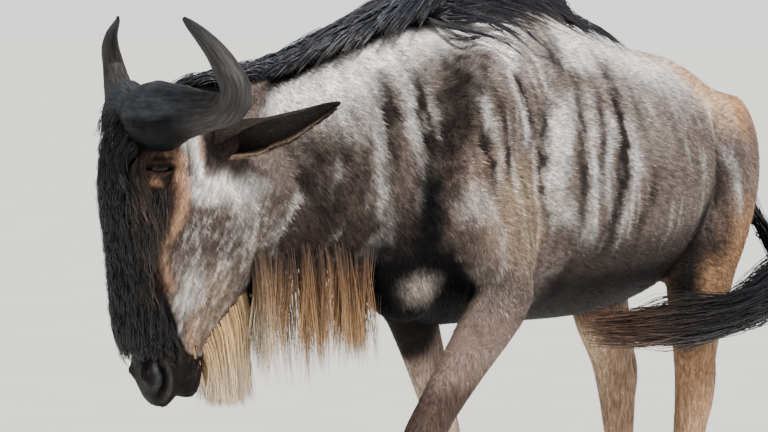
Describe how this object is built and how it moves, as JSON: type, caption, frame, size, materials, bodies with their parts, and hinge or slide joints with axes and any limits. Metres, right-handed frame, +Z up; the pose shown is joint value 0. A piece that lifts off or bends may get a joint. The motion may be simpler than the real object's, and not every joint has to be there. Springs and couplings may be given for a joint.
{
  "type": "wildebeest model",
  "caption": "Life-size still model of a blue wildebeest bull walking, head low and turned right, left foreleg swung forward, tail tuft swept along the thigh.",
  "frame": {"origin": "middle of the outline on the floor, at floor level", "axes": "+X the animal's left, +Y towards its tail, +Z up; it walks towards -Y"},
  "size_m": [0.7383, 1.9107, 1.3931],
  "materials": {
    "coat": "short grey-brown hair with dark stripes, longer locks on mane, throat and chin",
    "tail_hair": "long black hair",
    "horn": "dry grey-black horn, rough at the brow",
    "hoof": "worn black horn",
    "eye": "wet dark brown"
  },
  "bodies": {
    "root": {"head": "coat", "neck": "coat", "torso": "coat", "foreleg_left": "coat", "foreleg_right": "coat", "hindleg_left": "coat", "hindleg_right": "coat", "tail": "tail_hair", "ear_left": "coat", "ear_right": "coat", "eye_left": "eye", "eye_right": "eye", "horn_left": "horn", "horn_right": "horn", "foreleg_left_claw_outer": "hoof", "foreleg_left_claw_inner": "hoof", "foreleg_right_claw_outer": "hoof", "foreleg_right_claw_inner": "hoof", "hindleg_left_claw_outer": "hoof", "hindleg_left_claw_inner": "hoof", "hindleg_right_claw_outer": "hoof", "hindleg_right_claw_inner": "hoof"}
  },
  "joints": []
}
